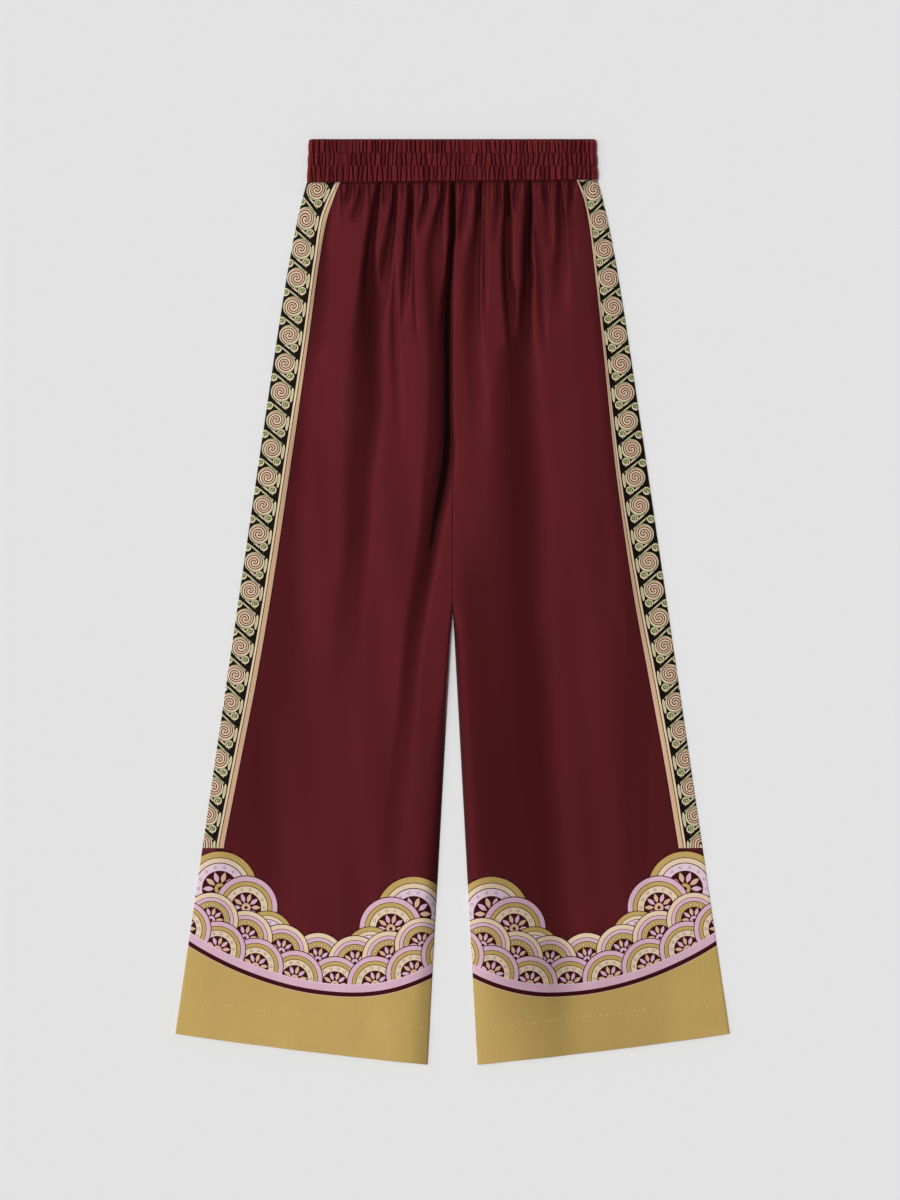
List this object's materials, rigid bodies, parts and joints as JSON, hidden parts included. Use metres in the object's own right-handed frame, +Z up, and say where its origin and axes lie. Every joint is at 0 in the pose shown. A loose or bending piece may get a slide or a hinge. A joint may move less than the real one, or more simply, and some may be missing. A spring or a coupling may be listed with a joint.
{
  "type": "palazzo pants",
  "caption": "Wide-leg burgundy palazzo pants laid flat, with a shirred elastic waistband, printed borders along the sides and above gold hems",
  "frame": {"origin": "the middle of the flat outline, on the surface that the pants lie on", "axes": "+X to the wearer's left leg, +Y up the garment to the waistband, +Z up out of the front of the pants, which lie on their back"},
  "size_m": [0.6382, 1.065, 0.0121],
  "materials": {
    "waistband_cloth": "soft satin, gathered over elastic",
    "burgundy_cloth": "soft satin of silk twill"
  },
  "bodies": {
    "root": {"waistband": "waistband_cloth", "front_right": "burgundy_cloth", "front_left": "burgundy_cloth", "back_right": "burgundy_cloth", "back_left": "burgundy_cloth"}
  },
  "joints": []
}
